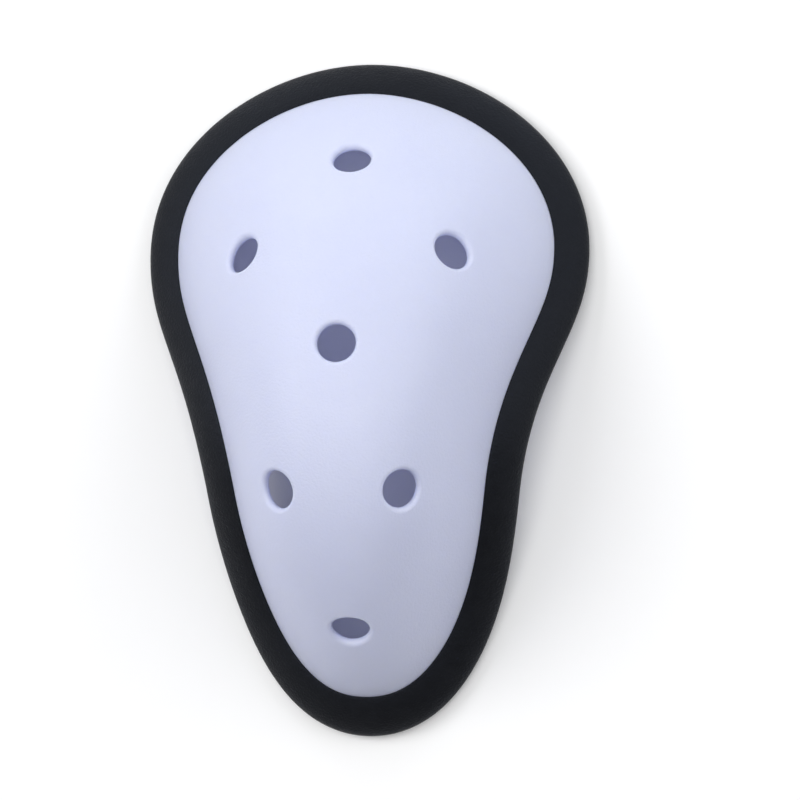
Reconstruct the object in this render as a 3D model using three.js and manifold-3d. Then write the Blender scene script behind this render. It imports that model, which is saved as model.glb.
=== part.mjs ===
// Groin guard: a hard moulded cup with seven vents, its edge held in the groove of a soft rubber rim.
// Millimetres. +Z points out of the cup and +Y towards its wide crown; it lies rim down on Z = 0.
import * as THREE from "three";
import Module from "manifold-3d";

const { clamp, degToRad, lerp } = THREE.MathUtils;

// Overall size of the rim in plan
const LENGTH = 145;
const WIDTH = 95.9;

// Rim outline, right half, as points on its outer edge from the crown round to the toe. heading is the
// way the edge runs there in degrees, 0 along +X; before and after are the lengths of the curve's handles.
// face is the width of the rim's face in plan, and rise is its climb from the outer edge to the cup.
const OUTLINE = [
  { at: "crown", x: 0, y: LENGTH / 2, heading: 0, before: 0, after: 22.5, face: 7.1, rise: 5.8 },
  { at: "shoulder", x: WIDTH / 2, y: 31.7, heading: -90, before: 24.6, after: 18.1, face: 7.2, rise: 4.8 },
  { at: "waist", x: 33.5, y: -21.2, heading: -97.9, before: 29, after: 44.4, face: 6.9, rise: 5.7 },
  { at: "toe", x: 0, y: -LENGTH / 2, heading: -180, before: 10.7, after: 0, face: 8.8, rise: 6 },
];

// The underside lies flat at the crown and the toe, and arches up over the legs between them.
const LEG_ARCH = { height: 11.4, middle: -9, reach: 50.8 };

// Rim section
const OUTER_EDGE = 3; // height of the outermost line above the underside
const FOOT_ROUND = 2.6; // rounding from the outer edge to the underside
const FACE_HANDLE = 0.4; // share of the face width over which the face leaves the cup nearly level
const FACE_DROP = 0.9; // fall of the face over that share
const EDGE_HANDLE = 1.8; // height over which the face turns down to the outer edge
const TOP_ROUND = 0.5; // rounding of the face's inner edge
const LIP_THICK = 2; // lip behind the cup's wall
const LIP_LENGTH = 3; // lip along the wall, up from the foot of the groove
const LIP_ROUND = 1.2; // rounding of the lip's top and of its turn to the underside

// Cup
const APEX = { y: -6, z: 50.3 };
const WALL = 2;
const EDGE_DEPTH = 4; // length of wall inside the rim's groove
const GAP = 0.3; // clearance between the cup and the groove
const RIDGE_ROUND = 0.85; // share of the ridge's fall to the crown that is parabolic
// Roundness of the cup's cross sections: 1 is a parabola, and less is fuller towards the sides.
const SECTION_ROUND = { crown: 1, waist: 0.36, toe: 0.85 };
const WAIST = -20; // where along the length the sections are fullest

// Vents through the cup, by the plan place of their centres. One off the middle has a twin on the left.
const VENTS = [
  { at: "crown", x: 0, y: 50.1 },
  { at: "shoulder", x: 22.4, y: 29.7 },
  { at: "middle", x: 0, y: 10.1 },
  { at: "waist", x: 13.2, y: -20.1 },
  { at: "toe", x: 0, y: -49.5 },
];
const VENT_DIAMETER = 8;
const VENT_LIP = 1.1; // rounding of a vent's outer edge
const VENT_INNER_LIP = 0.8; // rounding of its edge inside the cup

// Fineness of the facets
const STATIONS = 14; // along each stretch of the outline
const RINGS = 12; // on the cup, from its edge to the apex
const FACE_STEPS = 6;
const FOOT_STEPS = 3;
const VENT_SIDES = 24;
const VENT_LIP_ANGLES = [0, 30, 60]; // places round a lip's rounding, in degrees from the bore
const EDGE_SAMPLES = 120; // along each stretch, for reading the cup's edge at any place
const JUST_INSIDE = 0.99; // share of the way from the apex to the edge, where the wall's slope is read
const SLOPE_STEP = 0.02;
const SURFACE_PASSES = 4; // steps that bring a point along a line onto the surface

const ease = (t) => t * t * (3 - 2 * t);

// Rise of the underside over the legs
function legArch(y) {
  const t = Math.min(Math.abs(y - LEG_ARCH.middle) / LEG_ARCH.reach, 1);
  return LEG_ARCH.height * (1 - t * t) ** 3;
}

// Curves of the outline's right half, each between two rows of the table
const stretches = OUTLINE.slice(1).map((to, i) => {
  const from = OUTLINE[i];
  const handle = (row, length) => {
    const turn = degToRad(row.heading);
    return new THREE.Vector2(row.x + length * Math.cos(turn), row.y + length * Math.sin(turn));
  };
  const points = [handle(from, 0), handle(from, from.after), handle(to, -to.before), handle(to, 0)];
  return { from, to, curve: new THREE.CubicBezierCurve(...points) };
});

// One place on the outline: the way out, the rim's face there and the edge where the cup comes out of it
function stationAt({ from, to, curve }, t) {
  const along = curve.getTangent(t);
  const outer = curve.getPoint(t);
  const out = new THREE.Vector3(-along.y, along.x, 0);
  const face = lerp(from.face, to.face, ease(t));
  const edge = new THREE.Vector3(outer.x, outer.y, 0).addScaledVector(out, -face);
  const lift = legArch(edge.y);
  edge.z = lift + OUTER_EDGE + lerp(from.rise, to.rise, ease(t));
  return { out, face, lift, edge };
}

// The same place on the left side
function mirrored(station) {
  const flip = new THREE.Vector3(-1, 1, 1);
  return { ...station, out: station.out.clone().multiply(flip), edge: station.edge.clone().multiply(flip) };
}

// Places on the right half, from the crown to the toe
function halfOutline(steps) {
  const half = stretches.flatMap((stretch) =>
    Array.from({ length: steps }, (_, i) => stationAt(stretch, i / steps)),
  );
  return [...half, stationAt(stretches.at(-1), 1)];
}

const edgeLine = halfOutline(EDGE_SAMPLES).map((station) => station.edge);
const crownEdge = edgeLine[0];
const toeEdge = edgeLine.at(-1);

// Square of the cup's half width, and the height of its edge, at a place along the length
function edgeAt(y) {
  let low = 0;
  let high = edgeLine.length - 1;
  while (high - low > 1) {
    const middle = (low + high) >> 1;
    if (edgeLine[middle].y > y) low = middle;
    else high = middle;
  }
  const [a, b] = [edgeLine[low], edgeLine[high]];
  const t = (y - a.y) / (b.y - a.y);
  return { halfSquared: lerp(a.x ** 2, b.x ** 2, t), z: lerp(a.z, b.z, t) };
}

// Height of the cup's ridge: one curvature at the apex, and a fourth power that brings each end to the edge
const ridgeCurve = (RIDGE_ROUND * (APEX.z - crownEdge.z)) / (crownEdge.y - APEX.y) ** 2;
function ridge(y) {
  const end = y > APEX.y ? crownEdge : toeEdge;
  const reach = Math.abs(end.y - APEX.y);
  const run = Math.abs(y - APEX.y);
  const rest = APEX.z - end.z - ridgeCurve * reach ** 2;
  return APEX.z - ridgeCurve * run ** 2 - rest * (run / reach) ** 4;
}

function sectionRound(y) {
  const [end, round] = y > WAIST ? [crownEdge, SECTION_ROUND.crown] : [toeEdge, SECTION_ROUND.toe];
  const t = clamp((y - WAIST) / (end.y - WAIST), 0, 1);
  return lerp(SECTION_ROUND.waist, round, ease(t));
}

// Height of the cup's outer surface
function cupHeight(x, y) {
  const edge = edgeAt(y);
  const round = sectionRound(y);
  const share = x ** 2 / edge.halfSquared;
  return edge.z + (ridge(y) - edge.z) * (1 - round * share - (1 - round) * share ** 2);
}

function cupNormal(x, y) {
  const slopeX = (cupHeight(x + SLOPE_STEP, y) - cupHeight(x - SLOPE_STEP, y)) / (2 * SLOPE_STEP);
  const slopeY = (cupHeight(x, y + SLOPE_STEP) - cupHeight(x, y - SLOPE_STEP)) / (2 * SLOPE_STEP);
  return new THREE.Vector3(-slopeX, -slopeY, 1).normalize();
}

// Whole outline, counter-clockwise from the crown as seen from above, each place with the cup wall's own
// directions at the edge: normal out of the cup, and down along the wall.
function fullOutline() {
  const right = halfOutline(STATIONS);
  const ring = [...right.map(mirrored), ...right.slice(1, -1).reverse()];
  return ring.map((station, i) => {
    const along = ring[(i + 1) % ring.length].edge.clone().sub(ring.at(i - 1).edge).normalize();
    const x = station.edge.x * JUST_INSIDE;
    const y = lerp(APEX.y, station.edge.y, JUST_INSIDE);
    const up = new THREE.Vector3(x, y, cupHeight(x, y)).sub(station.edge);
    const normal = along.clone().cross(up).normalize();
    const down = along.clone().cross(normal);
    return { ...station, normal, down };
  });
}
const outline = fullOutline();

// Closed mesh of rings of points joined in order, each ring with the same count. Single points cap the
// two ends, or else the last ring joins the first.
function ringGeometry(rings, caps) {
  const count = rings[0].length;
  const points = rings.flat();
  const faces = [];
  const bands = caps ? rings.length - 1 : rings.length;
  for (let band = 0; band < bands; band++) {
    const a = band * count;
    const b = ((band + 1) % rings.length) * count;
    for (let i = 0; i < count; i++) {
      const j = (i + 1) % count;
      faces.push(a + i, a + j, b + j, a + i, b + j, b + i);
    }
  }
  if (caps) {
    const first = points.length;
    const last = first + 1;
    const end = (rings.length - 1) * count;
    points.push(...caps);
    for (let i = 0; i < count; i++) {
      const j = (i + 1) % count;
      faces.push(first, j, i, last, end + i, end + j);
    }
  }
  return new THREE.BufferGeometry().setFromPoints(points).setIndex(faces);
}

// Solids for cutting
const wasm = await Module();
wasm.setup();

function solidOf(geometry) {
  const vertProperties = geometry.getAttribute("position").array;
  const triVerts = new Uint32Array(geometry.index.array);
  return new wasm.Manifold(new wasm.Mesh({ numProp: 3, vertProperties, triVerts }));
}

function geometryOf(solid) {
  const mesh = solid.getMesh();
  const geometry = new THREE.BufferGeometry();
  geometry.setAttribute("position", new THREE.BufferAttribute(mesh.vertProperties, 3));
  geometry.setIndex(new THREE.BufferAttribute(mesh.triVerts, 1));
  return geometry;
}

function namedMesh(name, geometry, material) {
  geometry.computeVertexNormals();
  const mesh = new THREE.Mesh(geometry, new THREE.MeshStandardMaterial(material));
  mesh.name = name;
  return mesh;
}

// Cup wall: outer rings from the edge to the apex, and inner rings one wall thickness behind them
function cupGeometry() {
  const behind = (point, normal) => point.clone().addScaledVector(normal, -WALL);
  const foot = outline.map(({ edge, down }) => edge.clone().addScaledVector(down, EDGE_DEPTH));
  const outer = [foot, outline.map(({ edge }) => edge)];
  const inner = outer.map((ring) => ring.map((point, i) => behind(point, outline[i].normal)));
  for (let ring = 1; ring < RINGS; ring++) {
    const share = 1 - ring / RINGS;
    const plan = outline.map(({ edge }) => [edge.x * share, lerp(APEX.y, edge.y, share)]);
    const points = plan.map(([x, y]) => new THREE.Vector3(x, y, cupHeight(x, y)));
    outer.push(points);
    inner.push(points.map((point, i) => behind(point, cupNormal(...plan[i]))));
  }
  const apex = new THREE.Vector3(0, APEX.y, APEX.z);
  const apexBehind = behind(apex, cupNormal(apex.x, apex.y));
  return ringGeometry([...inner.reverse(), ...outer], [apexBehind, apex]);
}

// Cutter for one vent: a short bore along the normal, opening to both sides in roundings that follow
// the surface. depth is measured from the cup's outer side.
function ventGeometry({ x, y }) {
  const axis = cupNormal(x, y);
  const centre = new THREE.Vector3(x, y, cupHeight(x, y));
  const side = new THREE.Vector3(axis.z, 0, -axis.x).normalize();
  const across = axis.clone().cross(side);
  const bore = VENT_DIAMETER / 2;
  const lip = (round) =>
    VENT_LIP_ANGLES.map(degToRad).map((angle) => ({
      radius: bore + round * (1 - Math.cos(angle)),
      depth: round * (1 - Math.sin(angle)),
    }));
  const innerLip = lip(VENT_INNER_LIP).map(({ radius, depth }) => ({ radius, depth: WALL - depth }));
  const innerEnd = WALL + VENT_INNER_LIP;
  const profile = [
    { radius: bore + VENT_INNER_LIP, depth: innerEnd },
    ...innerLip.reverse(),
    ...lip(VENT_LIP),
    { radius: bore + VENT_LIP, depth: -VENT_LIP },
  ];
  const rings = profile.map(({ radius, depth }) =>
    Array.from({ length: VENT_SIDES }, (_, i) => {
      const turn = (2 * Math.PI * i) / VENT_SIDES;
      const point = centre.clone().addScaledVector(side, radius * Math.cos(turn));
      point.addScaledVector(across, radius * Math.sin(turn));
      for (let pass = 0; pass < SURFACE_PASSES; pass++) {
        const above = point.z - cupHeight(point.x, point.y);
        point.addScaledVector(axis, -above * axis.z);
      }
      return point.addScaledVector(axis, -depth);
    }),
  );
  const ends = [-innerEnd, VENT_LIP].map((height) => centre.clone().addScaledVector(axis, height));
  return ringGeometry(rings, ends);
}

// Rim section at one place, as points round it from the face's inner edge
function rimSection({ out, face, lift, edge, normal, down }) {
  const top = edge.z - lift;
  const place = (across, height) => edge.clone().addScaledVector(out, across).setZ(lift + height);
  const wall = (along, behind) => edge.clone().addScaledVector(down, along).addScaledVector(normal, -behind);
  const curve = (steps, ...points) =>
    new THREE.CubicBezierCurve(...points.map(([across, height]) => new THREE.Vector2(across, height)))
      .getPoints(steps)
      .map((point) => place(point.x, point.y));
  const faceCurve = curve(
    FACE_STEPS,
    [GAP + TOP_ROUND, top],
    [face * FACE_HANDLE, top - FACE_DROP],
    [face, OUTER_EDGE + EDGE_HANDLE],
    [face, OUTER_EDGE],
  );
  const footCurve = curve(
    FOOT_STEPS,
    [face, OUTER_EDGE],
    [face, OUTER_EDGE / 2],
    [face - FOOT_ROUND / 2, 0],
    [face - FOOT_ROUND, 0],
  );
  const lipBack = WALL + GAP + LIP_THICK;
  const lipTop = EDGE_DEPTH + GAP - LIP_LENGTH;
  const lip = wall(lipTop + LIP_ROUND / 2, lipBack);
  const slope = down.dot(out) / down.z;
  const heel = lip.clone().sub(edge).dot(out) + (lift + LIP_ROUND - lip.z) * slope;
  const corner = LIP_ROUND * (1 - Math.SQRT1_2);
  return [
    wall(TOP_ROUND, -GAP),
    ...faceCurve,
    ...footCurve.slice(1),
    place(heel + LIP_ROUND, 0),
    place(heel + corner, corner),
    place(heel, LIP_ROUND),
    lip,
    wall(lipTop, lipBack - LIP_ROUND / 2),
    wall(lipTop, WALL + GAP),
    wall(EDGE_DEPTH + GAP, WALL + GAP),
    wall(EDGE_DEPTH + GAP, -GAP),
  ];
}

function shell() {
  const twins = VENTS.filter((vent) => vent.x > 0).map((vent) => ({ ...vent, x: -vent.x }));
  const cutters = [...VENTS, ...twins].map((vent) => solidOf(ventGeometry(vent)));
  const cup = cutters.reduce((solid, cutter) => solid.subtract(cutter), solidOf(cupGeometry()));
  return namedMesh("shell", geometryOf(cup), { color: 0xdfe2f4, roughness: 0.42, metalness: 0 });
}

function rim() {
  const geometry = ringGeometry(outline.map(rimSection), null);
  return namedMesh("rim", geometry, { color: 0x1b1c20, roughness: 0.72, metalness: 0 });
}

const guard = new THREE.Group();
guard.add(shell(), rim());

export default guard;
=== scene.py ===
import bpy
import numpy as np
from mathutils import Matrix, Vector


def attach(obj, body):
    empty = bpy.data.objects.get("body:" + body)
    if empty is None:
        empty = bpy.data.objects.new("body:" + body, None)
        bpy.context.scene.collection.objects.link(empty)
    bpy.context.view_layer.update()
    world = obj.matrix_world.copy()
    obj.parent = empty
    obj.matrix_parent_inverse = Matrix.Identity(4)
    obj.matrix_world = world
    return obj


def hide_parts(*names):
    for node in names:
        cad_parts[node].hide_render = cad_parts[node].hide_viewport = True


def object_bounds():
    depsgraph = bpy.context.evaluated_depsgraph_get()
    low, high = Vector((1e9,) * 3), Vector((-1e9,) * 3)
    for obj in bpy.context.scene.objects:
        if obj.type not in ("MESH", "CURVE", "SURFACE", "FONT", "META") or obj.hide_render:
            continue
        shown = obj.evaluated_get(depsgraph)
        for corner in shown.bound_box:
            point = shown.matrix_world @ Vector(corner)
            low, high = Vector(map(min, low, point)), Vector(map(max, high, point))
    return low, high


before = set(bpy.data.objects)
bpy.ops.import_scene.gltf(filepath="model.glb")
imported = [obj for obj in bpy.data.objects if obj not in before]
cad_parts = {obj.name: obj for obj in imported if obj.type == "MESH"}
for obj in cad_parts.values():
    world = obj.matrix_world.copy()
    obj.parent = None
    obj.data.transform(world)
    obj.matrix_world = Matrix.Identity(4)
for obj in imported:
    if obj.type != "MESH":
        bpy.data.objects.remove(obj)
cadLow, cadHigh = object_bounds()  # the solid model's box, before anything is dressed
print("frame loaded:", sorted(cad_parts))

mm = 0.001
sharpCorner = 50  # degrees; a steeper corner is drawn as an edge

# Form of the guard, shared by the shell and the rim that holds its edge
guardForm = {
    "length": cadHigh.y - cadLow.y,
    "width": cadHigh.x - cadLow.x,
    "height": cadHigh.z - cadLow.z,
    "waist": (33.5 * mm, -21.2 * mm),  # point on the right side where the outline bends in
    "shoulderY": 31.7 * mm,  # widest place along the length
    "heading": (0, -90, -97.9, -180),  # way the edge runs at crown, shoulder, waist and toe, 0 along +X
    "before": (0, 24.6 * mm, 29 * mm, 10.7 * mm),  # curve handles ahead of those points
    "after": (22.5 * mm, 18.1 * mm, 44.4 * mm, 0),  # and past them
    "face": (7.1 * mm, 7.2 * mm, 6.9 * mm, 8.8 * mm),  # width of the rim's face in plan
    "rise": (5.8 * mm, 4.8 * mm, 5.7 * mm, 6 * mm),  # climb of the face from the outer edge to the cup
    "outerEdge": 3 * mm,  # height of the outermost line above the underside
    "archHeight": 11.4 * mm,  # the underside arches over the legs
    "archMiddle": -9 * mm,
    "archReach": 50.8 * mm,
    "apexY": -6 * mm,
    "wall": 2 * mm,
    "edgeDepth": 4 * mm,  # wall inside the rim's groove
}


# Smooth step: t squared times (3 - 2 t)
def easeInOut(t):
    return t * t * (3 - 2 * t)


# Rise of the underside: the arch's height times (1 - t squared) cubed, t being the share of its reach
def legArch(y):
    t = np.minimum(np.abs(y - guardForm["archMiddle"]) / guardForm["archReach"], 1)
    return guardForm["archHeight"] * (1 - t * t) ** 3


# Right half of the outline from crown to toe: a cubic Bezier curve for each of its three stretches, read
# at even steps. The edge of the cup is the outer line moved in by the face's width and up by its rise, and
# both ease from one point of the outline to the next.
def halfOutline(steps):
    waistX, waistY = guardForm["waist"]
    knots = np.array([
        (0, guardForm["length"] / 2),
        (guardForm["width"] / 2, guardForm["shoulderY"]),
        (waistX, waistY),
        (0, -guardForm["length"] / 2),
    ])
    turn = np.radians(guardForm["heading"])
    way = np.stack([np.cos(turn), np.sin(turn)], axis=1)
    ahead = knots + way * np.array(guardForm["after"])[:, None]
    behind = knots - way * np.array(guardForm["before"])[:, None]
    controls = np.stack([knots[:-1], ahead[:-1], behind[1:], knots[1:]], axis=1)
    t = np.linspace(0, 1, steps + 1)
    s = 1 - t
    basis = np.stack([s**3, 3 * s * s * t, 3 * s * t * t, t**3], axis=1)
    slope = np.stack([-s * s, s * s - 2 * s * t, 2 * s * t - t * t, t * t], axis=1)

    def joined(perStretch):  # the three stretches end to end, without the doubled points
        return np.concatenate([perStretch[:, :-1].reshape(3 * steps, -1), perStretch[-1:, -1]])

    outer = joined(np.einsum("tk,skd->std", basis, controls))
    along = joined(np.einsum("tk,skd->std", slope, controls))
    along /= np.linalg.norm(along, axis=1, keepdims=True)
    out = np.stack([-along[:, 1], along[:, 0], np.zeros(len(along))], axis=1)

    def eased(name):
        rows = np.array(guardForm[name])
        return joined((rows[:-1, None] + np.diff(rows)[:, None] * easeInOut(t))[:, :, None])[:, 0]

    face = eased("face")
    edge = np.column_stack([outer, np.zeros(len(outer))]) - out * face[:, None]
    lift = legArch(edge[:, 1])
    edge[:, 2] = lift + guardForm["outerEdge"] + eased("rise")
    return {"out": out, "face": face, "lift": lift, "edge": edge}


edgeSamples = 600  # along each stretch, for reading the cup's edge at any place
edgeLine = halfOutline(edgeSamples)["edge"][::-1]  # from toe to crown
toeEdge, crownEdge = edgeLine[0], edgeLine[-1]

shellForm = {
    "ridgeRound": 0.85,  # share of the ridge's fall to the crown that is parabolic
    "sectionRound": {"crown": 1, "waist": 0.36, "toe": 0.85},  # 1 is a parabola, less is fuller
    "fullestY": -20 * mm,  # where along the length the sections are fullest
    "vents": mm * np.array([  # plan places of their centres
        (0, 50.1), (22.4, 29.7), (-22.4, 29.7), (0, 10.1), (13.2, -20.1), (-13.2, -20.1), (0, -49.5),
    ]),
    "ventRadius": 4 * mm,
    "ventLip": 1.1 * mm,  # rounding of a vent's outer edge
    "ventInnerLip": 0.8 * mm,  # and of its edge inside the cup
    "stationSteps": 48,  # along each stretch of the outline
    "rings": 64,
    "lipSteps": 10,
    "innerLipSteps": 8,
    "blendSteps": 7,  # between a vent's lip and the grid round it
    "blendEase": 1.3,  # above 1, those steps are closer together at the lip
    "ventRoom": 1.5,  # how far the grid stays off a vent, in lip radii
    "ventTries": 12,  # rounds of moving a vent's points onto a surface
}


# Height of the cup's outer surface. Along the middle it falls from the apex as a parabola plus a fourth
# power that brings it to the edge at each end. Across, it falls from there to the edge as
# 1 - r u^2 - (1 - r) u^4, u being the share of the half width and r the roundness of the section.
def cupHeight(x, y):
    apexY, apexZ = guardForm["apexY"], guardForm["height"]
    leastSquare = 1e-12  # keeps the share finite at the two ends
    halfSquared = np.maximum(np.interp(y, edgeLine[:, 1], edgeLine[:, 0] ** 2), leastSquare)
    edgeZ = np.interp(y, edgeLine[:, 1], edgeLine[:, 2])
    fall = shellForm["ridgeRound"] * (apexZ - crownEdge[2]) / (crownEdge[1] - apexY) ** 2
    endY = np.where(y > apexY, crownEdge[1], toeEdge[1])
    endZ = np.where(y > apexY, crownEdge[2], toeEdge[2])
    reach, run = np.abs(endY - apexY), np.abs(y - apexY)
    ridge = apexZ - fall * run**2 - (apexZ - endZ - fall * reach**2) * (run / reach) ** 4
    fullestY, rounds = shellForm["fullestY"], shellForm["sectionRound"]
    towards = np.where(y > fullestY, crownEdge[1], toeEdge[1])
    roundness = np.where(y > fullestY, rounds["crown"], rounds["toe"])
    t = easeInOut(np.clip((y - fullestY) / (towards - fullestY), 0, 1))
    roundness = rounds["waist"] + (roundness - rounds["waist"]) * t
    share = x * x / halfSquared
    return edgeZ + (ridge - edgeZ) * (1 - roundness * share - (1 - roundness) * share**2)


# Point of the cup above a place in plan
def cupPoint(plan):
    return np.concatenate([plan, cupHeight(plan[..., 0], plan[..., 1])[..., None]], axis=-1)


# Outward normal of the cup, from the slopes of its height by central differences
def cupNormal(plan):
    step = 0.02 * mm
    x, y = plan[..., 0], plan[..., 1]
    slopeX = (cupHeight(x + step, y) - cupHeight(x - step, y)) / (2 * step)
    slopeY = (cupHeight(x, y + step) - cupHeight(x, y - step)) / (2 * step)
    normal = np.stack([-slopeX, -slopeY, np.ones_like(slopeX)], axis=-1)
    return normal / np.linalg.norm(normal, axis=-1, keepdims=True)


# Point of the cup's inner surface: one wall behind the outer surface along its normal
def innerPoint(plan):
    return cupPoint(plan) - guardForm["wall"] * cupNormal(plan)


# Whole outline counter-clockwise from the crown, with the wall's own directions at the edge: the normal
# is square to the edge line and to the slope just inside it, and down runs on along the wall into the rim.
def outlineRing(steps):
    half = halfOutline(steps)
    flip = np.array([-1, 1, 1])
    ring = {}
    for name, right in half.items():
        left = right * flip if right.ndim == 2 else right
        ring[name] = np.concatenate([left, right[1:-1][::-1]])
    edge = ring["edge"]
    apex = np.array([0, guardForm["apexY"]])
    justInside = 0.99
    along = np.roll(edge, -1, axis=0) - np.roll(edge, 1, axis=0)
    along /= np.linalg.norm(along, axis=1, keepdims=True)
    up = cupPoint(apex + (edge[:, :2] - apex) * justInside) - edge
    normal = np.cross(along, up)
    ring["normal"] = normal / np.linalg.norm(normal, axis=1, keepdims=True)
    ring["down"] = np.cross(along, ring["normal"])
    return ring


# Faces between rows of points: each row joins the next, and each row closes on itself
def bandFaces(rows):
    ahead = np.roll(rows, -1, axis=1)
    return np.stack([rows[:-1], ahead[:-1], ahead[1:], rows[1:]], axis=-1).reshape(-1, 4)


# A piece with smooth faces, divided at its sharp corners
def makePiece(name, points, faces):
    mesh = bpy.data.meshes.new(name)
    mesh.from_pydata(points.tolist(), [], faces)
    mesh.shade_smooth()
    mesh.set_sharp_from_angle(angle=np.radians(sharpCorner))
    piece = bpy.data.objects.new(name, mesh)
    bpy.context.scene.collection.objects.link(piece)
    print("made", name, "with", len(points), "points")
    return piece


# Directions at a vent: its axis along the cup's normal, and two across it
def ventFrame(plan):
    axis = cupNormal(plan)
    side = np.array([axis[2], 0, -axis[0]])
    side /= np.linalg.norm(side)
    return cupPoint(plan), axis, side, np.cross(axis, side)


# Plan places where the outer surface lies at a given distance from a vent's axis: a point at that
# distance slides along the axis until it meets the surface.
def ventOuterPlan(vent, radius, spokes):
    centre, axis = vent[0], vent[1]
    point = centre + radius * spokes
    for _ in range(shellForm["ventTries"]):
        above = point[:, 2] - cupHeight(point[:, 0], point[:, 1])
        point = point - np.outer(above * axis[2], axis)
    return point[:, :2]


# The same for the inner surface: the plan place moves by what its inner point lacks of that distance
def ventInnerPlan(vent, radius, spokes):
    centre, axis = vent[0], vent[1]
    plan = ventOuterPlan(vent, radius, spokes)
    for _ in range(shellForm["ventTries"]):
        offset = innerPoint(plan) - centre
        lack = radius * spokes - (offset - np.outer(offset @ axis, axis))
        plan = plan + lack[:, :2]
    return plan


# Rows of points from the grid round a vent, over its lip, down the bore and out over the inner surface. A
# row is a closed line round the vent, one point on each spoke, and each lip is a quarter circle that
# follows its surface.
def ventRows(vent, border):
    centre, axis, side, across = vent
    radius, lip, innerLip = shellForm["ventRadius"], shellForm["ventLip"], shellForm["ventInnerLip"]
    offset = cupPoint(border) - centre
    angle = np.arctan2(offset @ across, offset @ side)[:, None]
    spokes = np.cos(angle) * side + np.sin(angle) * across
    share = np.linspace(1, 0, shellForm["blendSteps"] + 1)[1:-1, None, None] ** shellForm["blendEase"]
    mouth = ventOuterPlan(vent, radius + lip, spokes)
    outerRows = cupPoint(mouth + (border - mouth) * share)
    turn = np.linspace(np.pi / 2, 0, shellForm["lipSteps"] + 1)
    lipRows = np.stack([
        cupPoint(ventOuterPlan(vent, radius + lip * (1 - np.cos(a)), spokes)) - lip * (1 - np.sin(a)) * axis
        for a in turn
    ])
    turn = np.linspace(0, np.pi / 2, shellForm["innerLipSteps"] + 1)
    innerLipRows = np.stack([
        innerPoint(ventInnerPlan(vent, radius + innerLip * (1 - np.cos(a)), spokes))
        + innerLip * (1 - np.sin(a)) * axis
        for a in turn
    ])
    back = ventInnerPlan(vent, radius + innerLip, spokes)
    innerRows = innerPoint(back + (border - back) * share[::-1])
    return np.concatenate([outerRows, lipRows, innerLipRows, innerRows])


# The shell: rings of the outline drawn in to the apex and lifted onto the cup, with a second skin one wall
# behind. Round each vent a block of both grids gives way to the vent's own rows.
def makeShell():
    ring = outlineRing(shellForm["stationSteps"])
    apex = np.array([0, guardForm["apexY"]])
    # The rings start beside the apex on the right, so no vent lies across their seam
    seam = np.argmin(np.abs(ring["edge"][:, 1] - apex[1]) + (ring["edge"][:, 0] < 0))
    ring = {name: np.roll(values, -seam, axis=0) for name, values in ring.items()}
    edge = ring["edge"]
    count, stations = shellForm["rings"], len(edge)
    share = np.linspace(1, 0, count + 1)[:-1, None, None]
    plan = apex + (edge[:, :2] - apex) * share
    outer, inner = cupPoint(plan), innerPoint(plan)
    outer[0] = edge
    inner[0] = edge - guardForm["wall"] * ring["normal"]
    foot = edge + guardForm["edgeDepth"] * ring["down"]
    innerFoot = foot - guardForm["wall"] * ring["normal"]
    poles = np.stack([cupPoint(apex), innerPoint(apex)])

    points = [outer.reshape(-1, 3), inner.reshape(-1, 3), innerFoot, foot, poles]
    outerId = np.arange(count * stations).reshape(count, stations)
    innerId = outerId + outerId.size
    footIds = np.arange(2 * stations).reshape(2, stations) + 2 * outerId.size
    poleIds = 2 * outerId.size + 2 * stations + np.arange(2)
    total = poleIds[-1] + 1

    kept = np.ones((count - 1, stations), bool)
    ventFaces = []
    for place in shellForm["vents"]:
        vent = ventFrame(place)
        room = shellForm["ventRoom"] * (shellForm["ventRadius"] + shellForm["ventLip"])
        near = np.linalg.norm(outer - vent[0], axis=-1) < room
        rows, columns = np.flatnonzero(near.any(axis=1)), np.flatnonzero(near.any(axis=0))
        i = np.arange(rows[0] - 1, rows[-1] + 2)
        j = np.arange(columns[0] - 1, columns[-1] + 2)
        kept[i[0]:i[-1], j[0]:j[-1]] = False
        border = np.concatenate([  # round the block, counter-clockwise
            outerId[i[0], j[:-1]], outerId[i[:-1], j[-1]],
            outerId[i[-1], j[:0:-1]], outerId[i[:0:-1], j[0]],
        ])
        made = ventRows(vent, plan.reshape(-1, 2)[border])
        madeId = total + np.arange(made.shape[0] * made.shape[1]).reshape(made.shape[:2])
        total += madeId.size
        points.append(made.reshape(-1, 3))
        ventFaces.append(bandFaces(np.concatenate([border[None], madeId, border[None] + outerId.size])))

    gridFaces = bandFaces(outerId)[kept.ravel()]
    innerFaces = bandFaces(innerId)[kept.ravel()][:, ::-1]
    footFaces = bandFaces(np.concatenate([innerId[:1], footIds, outerId[:1]]))
    last, lastInner = outerId[-1], innerId[-1]
    capFaces = np.stack([last, np.roll(last, -1), np.full(stations, poleIds[0])], axis=1)
    innerCap = np.stack([np.roll(lastInner, -1), lastInner, np.full(stations, poleIds[1])], axis=1)
    quads = np.concatenate([gridFaces, innerFaces, footFaces, *ventFaces])
    faces = quads.tolist() + capFaces.tolist() + innerCap.tolist()
    return makePiece("shell_moulding", np.concatenate(points), faces)


rimForm = {
    "gap": 0.04 * mm,  # clearance round the shell's edge
    "topRound": 0.22 * mm,  # rounding of the face's inner edge
    "faceHandle": 0.4,  # share of the face over which it leaves the cup nearly level
    "faceDrop": 0.9 * mm,  # fall over that share
    "edgeHandle": 1.8 * mm,  # height over which the face turns down to the outer edge
    "footRound": 2.6 * mm,
    "lipThick": 2 * mm,  # lip behind the shell's wall
    "lipLength": 3 * mm,
    "lipRound": 1.2 * mm,
    "stationSteps": 84,
    "faceSteps": 26,
    "footSteps": 12,
    "roundSteps": 6,
}


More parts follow.
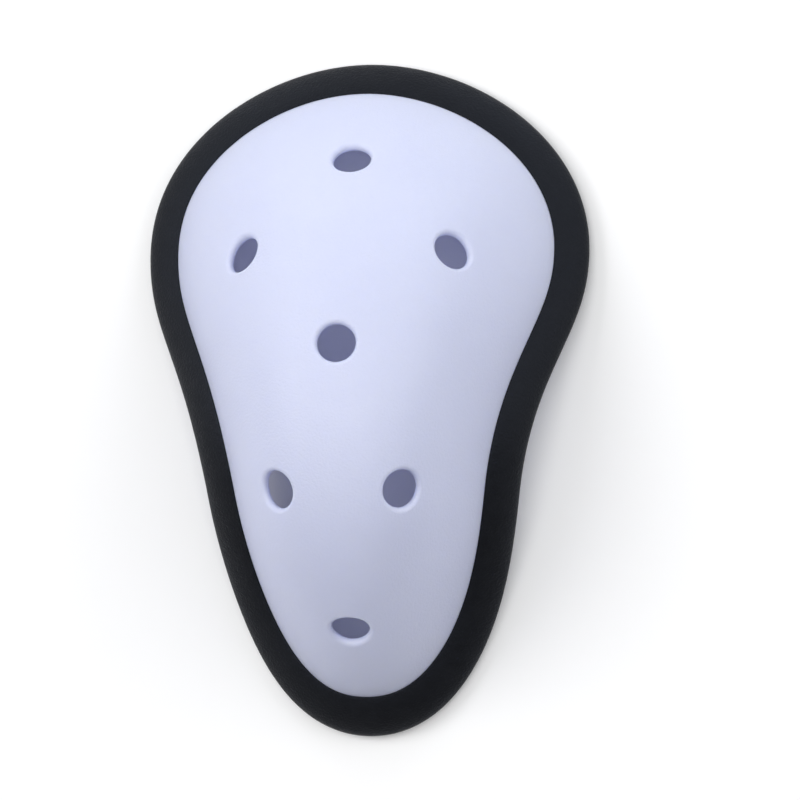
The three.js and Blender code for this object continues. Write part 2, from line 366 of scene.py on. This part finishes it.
# Bezier curve with three or four controls, each an array of places, one for each station
def sectionCurve(steps, *controls):
    t = np.linspace(0, 1, steps + 1)[:, None, None]
    s = 1 - t
    if len(controls) == 3:
        weights = (s * s, 2 * s * t, t * t)
    else:
        weights = (s**3, 3 * s * s * t, 3 * s * t * t, t**3)
    return sum(weight * control for weight, control in zip(weights, controls))


# The rim: one section carried round the outline. It runs from the face's inner edge over the face, round
# the foot, along the underside, up the lip behind the shell and through the groove that holds its edge.
def makeRim():
    ring = outlineRing(rimForm["stationSteps"])
    edge, out, face, lift = ring["edge"], ring["out"], ring["face"], ring["lift"]
    top = edge[:, 2] - lift
    outerEdge, wall, depth = guardForm["outerEdge"], guardForm["wall"], guardForm["edgeDepth"]
    gap, topRound, lipRound = rimForm["gap"], rimForm["topRound"], rimForm["lipRound"]

    def place(across, height):  # distance out from the shell's edge, height above the underside
        point = edge + out * np.broadcast_to(across, face.shape)[:, None]
        point[:, 2] = lift + height
        return point

    def along(down, behind):  # distance down the shell's wall and behind its outer surface
        return edge + ring["down"] * down - ring["normal"] * behind

    faceCurve = sectionCurve(
        rimForm["faceSteps"],
        place(gap + topRound, top),
        place(face * rimForm["faceHandle"], top - rimForm["faceDrop"]),
        place(face, outerEdge + rimForm["edgeHandle"]),
        place(face, outerEdge),
    )
    footCurve = sectionCurve(
        rimForm["footSteps"],
        place(face, outerEdge),
        place(face, outerEdge / 2),
        place(face - rimForm["footRound"] / 2, 0),
        place(face - rimForm["footRound"], 0),
    )
    lipBack = wall + gap + rimForm["lipThick"]
    lipTop = depth + gap - rimForm["lipLength"]
    lipStart = along(lipTop + lipRound / 2, lipBack)
    slope = np.sum(ring["down"] * out, axis=1) / ring["down"][:, 2]
    heel = np.sum((lipStart - edge) * out, axis=1) + (lift + lipRound - lipStart[:, 2]) * slope
    steps = rimForm["roundSteps"]
    section = np.concatenate([
        sectionCurve(steps, along(topRound, -gap), along(0, -gap), place(gap + topRound, top))[:-1],
        faceCurve[:-1],
        footCurve,
        sectionCurve(steps, place(heel + lipRound, 0), place(heel, 0), place(heel, lipRound)),
        sectionCurve(steps, lipStart, along(lipTop, lipBack), along(lipTop, lipBack - lipRound / 2)),
        along(lipTop, wall + gap)[None],
        along(depth + gap, wall + gap)[None],
        along(depth + gap, -gap)[None],
    ])
    rows = np.arange(section.shape[0] * section.shape[1]).reshape(section.shape[:2])
    faces = bandFaces(np.concatenate([rows, rows[:1]]))[:, ::-1]
    return makePiece("rim_moulding", section.reshape(-1, 3), faces.tolist())


# A new material with its nodes, its shader and the object's own coordinates
def newMaterial(name):
    material = bpy.data.materials.new(name)
    material.use_nodes = True
    tree = material.node_tree
    shader = tree.nodes["Principled BSDF"]
    place = tree.nodes.new("ShaderNodeTexCoord").outputs["Object"]
    return material, tree, shader, place


# Noise on the object's own coordinates, its features about a given size across
def noiseOf(tree, place, size, detail):
    noise = tree.nodes.new("ShaderNodeTexNoise")
    noise.inputs["Scale"].default_value = 1 / size
    noise.inputs["Detail"].default_value = detail
    tree.links.new(place, noise.inputs["Vector"])
    return noise.outputs["Fac"]


noiseSpan = (0.3, 0.7)  # nearly all of a noise lies between these


# A value that follows a noise between two ends
def rangeOf(tree, source, low, high):
    span = tree.nodes.new("ShaderNodeMapRange")
    span.inputs["From Min"].default_value, span.inputs["From Max"].default_value = noiseSpan
    span.inputs["To Min"].default_value = low
    span.inputs["To Max"].default_value = high
    tree.links.new(source, span.inputs["Value"])
    return span.outputs["Result"]


# A colour that follows a noise between two ends
def tintOf(tree, source, *ends):
    ramp = tree.nodes.new("ShaderNodeValToRGB")
    for stop, position, tint in zip(ramp.color_ramp.elements, noiseSpan, ends):
        stop.position = position
        stop.color = (*tint, 1)
    tree.links.new(source, ramp.inputs["Fac"])
    return ramp.outputs["Color"]


# Relief of a given height that follows a noise, on top of the relief under it
def bumpOf(tree, source, height, under=None):
    bump = tree.nodes.new("ShaderNodeBump")
    bump.inputs["Distance"].default_value = height
    bump.inputs["Strength"].default_value = 1
    tree.links.new(source, bump.inputs["Height"])
    if under is not None:
        tree.links.new(under, bump.inputs["Normal"])
    return bump.outputs["Normal"]


# A surface whose tint and roughness wander a little, with a fine grain over a broader unevenness. Each
# noise is given by its size and its detail.
def makeSurface(name, finish):
    material, tree, shader, place = newMaterial(name)
    parts = ("tint", "roughness", "wave", "grain")
    noise = {part: noiseOf(tree, place, *finish[part]["noise"]) for part in parts}
    tint = tintOf(tree, noise["tint"], *finish["tint"]["ends"])
    rough = rangeOf(tree, noise["roughness"], *finish["roughness"]["ends"])
    wave = bumpOf(tree, noise["wave"], finish["wave"]["height"])
    grain = bumpOf(tree, noise["grain"], finish["grain"]["height"], wave)
    tree.links.new(tint, shader.inputs["Base Color"])
    tree.links.new(rough, shader.inputs["Roughness"])
    tree.links.new(grain, shader.inputs["Normal"])
    return material, tree, shader, grain


shellFinish = {
    "tint": {"noise": (18 * mm, 3), "ends": ((0.758, 0.790, 0.938), (0.778, 0.810, 0.958))},
    "roughness": {"noise": (6 * mm, 4), "ends": (0.40, 0.50)},
    "wave": {"noise": (9 * mm, 1), "height": 0.02 * mm},  # faint unevenness of the moulding
    "grain": {"noise": (0.5 * mm, 2), "height": 0.09 * mm},  # satin mould finish
    "glow": 0.3,  # light that sinks into the plastic
    "glowDepth": 0.4 * mm,
    "glowSpread": (0.8, 0.85, 1),  # of red, green and blue, as shares of that depth
    "through": 0.30,  # share that passes on through the wall and lights the inside of the cup
    "throughTint": (0.70, 0.73, 1.0),
}


# Satin plastic: some light sinks in and comes out nearby, and some goes on through the wall
def shellPlastic():
    material, tree, shader, grain = makeSurface("satin_shell_plastic", shellFinish)
    shader.inputs["Subsurface Weight"].default_value = shellFinish["glow"]
    shader.inputs["Subsurface Radius"].default_value = shellFinish["glowSpread"]
    shader.inputs["Subsurface Scale"].default_value = shellFinish["glowDepth"]
    through = tree.nodes.new("ShaderNodeBsdfTranslucent")
    through.inputs["Color"].default_value = (*shellFinish["throughTint"], 1)
    tree.links.new(grain, through.inputs["Normal"])
    both = tree.nodes.new("ShaderNodeMixShader")
    both.inputs["Fac"].default_value = shellFinish["through"]
    tree.links.new(shader.outputs["BSDF"], both.inputs[1])
    tree.links.new(through.outputs["BSDF"], both.inputs[2])
    tree.links.new(both.outputs["Shader"], tree.nodes["Material Output"].inputs["Surface"])
    return material


rimFinish = {
    "tint": {"noise": (5 * mm, 4), "ends": ((0.0052, 0.0053, 0.0062), (0.0066, 0.0068, 0.0078))},
    "roughness": {"noise": (2.5 * mm, 4), "ends": (0.44, 0.54)},
    "wave": {"noise": (1.4 * mm, 2), "height": 0.06 * mm},  # shallow pits
    "grain": {"noise": (0.45 * mm, 3), "height": 0.16 * mm},  # fine matt grain of the rubber
    "shine": 0.21,  # strength of its gloss
    "shineTint": (0.66, 0.76, 1.0),
}


# Matt rubber: nearly black, with a weak cool gloss
def rimRubber():
    material, _, shader, _ = makeSurface("matt_rim_rubber", rimFinish)
    shader.inputs["Specular IOR Level"].default_value = rimFinish["shine"]
    shader.inputs["Specular Tint"].default_value = (*rimFinish["shineTint"], 1)
    return material


floorLook = {"radius": 4.0, "sides": 96, "tint": (0.95, 0.95, 0.955), "roughness": 0.75}


# The floor: a flat disc, one face with many sides
def makeFloor():
    angle = np.linspace(0, 2 * np.pi, floorLook["sides"], endpoint=False)
    corners = floorLook["radius"] * np.stack([np.cos(angle), np.sin(angle), 0 * angle], axis=1)
    mesh = bpy.data.meshes.new("floor")
    mesh.from_pydata(corners.tolist(), [], [list(range(floorLook["sides"]))])
    floor = bpy.data.objects.new("floor", mesh)
    bpy.context.scene.collection.objects.link(floor)
    material, _, shader, _ = newMaterial("pale_floor")
    shader.inputs["Base Color"].default_value = (*floorLook["tint"], 1)
    shader.inputs["Roughness"].default_value = floorLook["roughness"]
    mesh.materials.append(material)
    return floor


lightRig = {
    "skyWay": (-0.3, 0.953, 0),  # the room brightens this way, beyond the crown
    "skyDark": 0.0,
    "skyBright": 0.63,
    "backdrop": 0.8,  # the room as seen past the floor
    "distance": 1.6,  # of the boxes from the origin
    "boxes": (  # soft boxes: degrees round from +X, degrees up, power, width and tint
        {"name": "overhead", "turn": 0, "up": 90, "power": 12.0, "width": 1.2, "tint": (1, 1, 1)},
        {"name": "left", "turn": 165, "up": 46, "power": 8.3, "width": 0.8, "tint": (1, 1, 1)},
        {"name": "right", "turn": 15, "up": 35, "power": 6.0, "width": 1.2, "tint": (1, 1, 1)},
        {"name": "crown_left", "turn": 120, "up": 12, "power": 3.0, "width": 0.7, "tint": (0.84, 0.91, 1)},
        {"name": "crown_right", "turn": 60, "up": 12, "power": 4.2, "width": 0.7, "tint": (0.84, 0.91, 1)},
    ),
}


# The room's light rises evenly along its way from dark to bright, and what shows past the floor is a plain
# pale backdrop. Each soft box is a disc that faces the guard.
def makeLights():
    world = bpy.data.worlds.new("studio")
    world.use_nodes = True
    tree = world.node_tree
    sky = tree.nodes["Background"]
    sky.inputs["Color"].default_value = (1, 1, 1, 1)
    along = tree.nodes.new("ShaderNodeVectorMath")
    along.operation = "DOT_PRODUCT"
    along.inputs[1].default_value = lightRig["skyWay"]
    fade = tree.nodes.new("ShaderNodeMapRange")
    fade.inputs["From Min"].default_value = -1
    fade.inputs["To Min"].default_value = lightRig["skyDark"]
    fade.inputs["To Max"].default_value = lightRig["skyBright"]
    tree.links.new(tree.nodes.new("ShaderNodeTexCoord").outputs["Generated"], along.inputs[0])
    tree.links.new(along.outputs["Value"], fade.inputs["Value"])
    seen = tree.nodes.new("ShaderNodeMix")
    seen.inputs["B"].default_value = lightRig["backdrop"]
    tree.links.new(tree.nodes.new("ShaderNodeLightPath").outputs["Is Camera Ray"], seen.inputs["Factor"])
    tree.links.new(fade.outputs["Result"], seen.inputs["A"])
    tree.links.new(seen.outputs["Result"], sky.inputs["Strength"])
    bpy.context.scene.world = world
    for box in lightRig["boxes"]:
        light = bpy.data.lights.new(box["name"], "AREA")
        light.shape = "DISK"
        light.size = box["width"]
        light.energy = box["power"]
        light.color = box["tint"]
        lamp = bpy.data.objects.new(box["name"], light)
        turn, up = np.radians([box["turn"], box["up"]])
        way = np.array([np.cos(turn) * np.cos(up), np.sin(turn) * np.cos(up), np.sin(up)])
        lamp.location = way * lightRig["distance"]
        lamp.rotation_mode = "QUATERNION"
        lamp.rotation_quaternion = (-lamp.location).to_track_quat("-Z", "Y")
        bpy.context.scene.collection.objects.link(lamp)


cameraPlace = {
    "turn": 8.162,  # degrees to the guard's right of straight above
    "tip": 2.166,  # degrees towards the toe
    "roll": 0.31,
    "distance": 800 * mm,
    "frameWidth": 173.3 * mm,  # width of the picture at that distance
    "middle": (6.195 * mm, -0.027 * mm),  # where the picture's middle lies, right and up from the origin
}


# The camera looks at the guard from nearly straight above, turned and tipped by the given angles
def makeCamera():
    turn, tip, roll = np.radians([cameraPlace["turn"], cameraPlace["tip"], cameraPlace["roll"]])
    back = np.array([np.sin(turn) * np.cos(tip), -np.sin(tip), np.cos(turn) * np.cos(tip)])
    level = np.array([np.cos(turn), 0, -np.sin(turn)])
    upright = np.cross(back, level)
    right = np.cos(roll) * level - np.sin(roll) * upright
    up = np.sin(roll) * level + np.cos(roll) * upright
    spot = right * cameraPlace["middle"][0] + up * cameraPlace["middle"][1] + back * cameraPlace["distance"]
    camera = bpy.data.cameras.new("camera")
    camera.lens = camera.sensor_width * cameraPlace["distance"] / cameraPlace["frameWidth"]
    holder = bpy.data.objects.new("camera", camera)
    placed = np.eye(4)
    placed[:3] = np.column_stack([right, up, back, spot])
    holder.matrix_world = Matrix(placed.tolist())
    bpy.context.scene.collection.objects.link(holder)
    bpy.context.scene.camera = holder


makeCamera()
makeLights()
makeFloor()
bpy.context.scene.view_settings.view_transform = "Standard"
print("stage, lights and camera set")

shell = makeShell()
shell.data.materials.append(shellPlastic())
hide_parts("shell")
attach(shell, "root")

rim = makeRim()
rim.data.materials.append(rimRubber())
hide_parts("rim")
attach(rim, "root")
print("shell and rim dressed")
